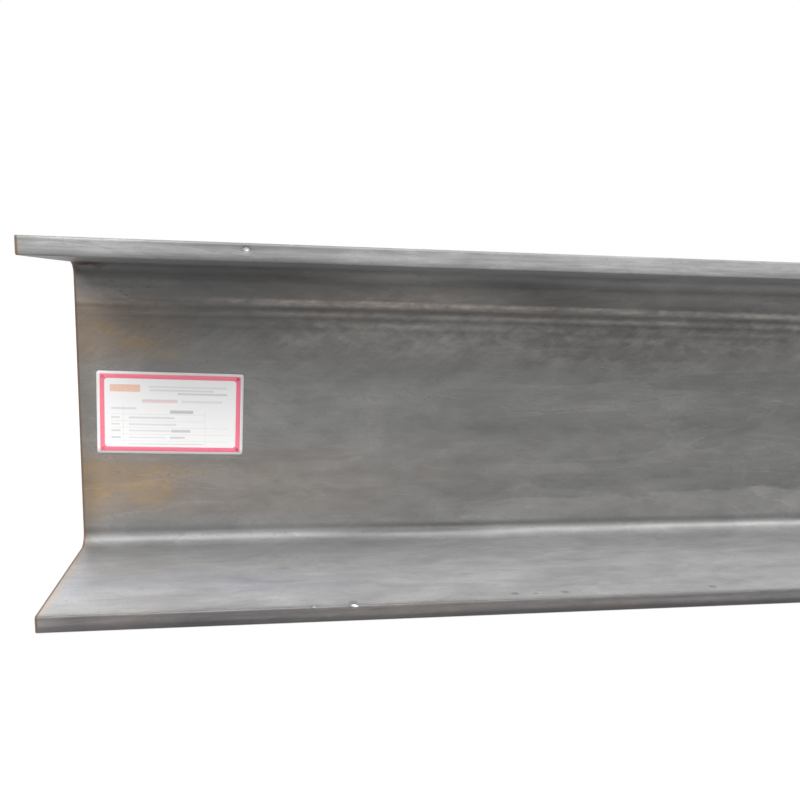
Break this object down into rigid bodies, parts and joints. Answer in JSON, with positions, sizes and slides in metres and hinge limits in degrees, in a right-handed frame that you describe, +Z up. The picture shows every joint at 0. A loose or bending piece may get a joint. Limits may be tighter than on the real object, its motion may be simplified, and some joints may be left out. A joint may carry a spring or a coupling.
{
  "type": "steel h-beam",
  "caption": "Straight length of hot-rolled wide-flange steel H-beam with square-cut ends and a plain paper label on the web near one end.",
  "frame": {"origin": "under the middle of the beam, on the underside of the bottom flange", "axes": "+X along the beam, the labelled end at -X; +Y across the flanges, the labelled side of the web facing -Y; +Z up through the web to the top flange"},
  "size_m": [6, 0.348, 0.344],
  "materials": {
    "rolled_steel": "matte",
    "label_paper": "satin"
  },
  "bodies": {
    "root": {"h_beam": "rolled_steel", "paper_label": "label_paper"}
  },
  "joints": []
}
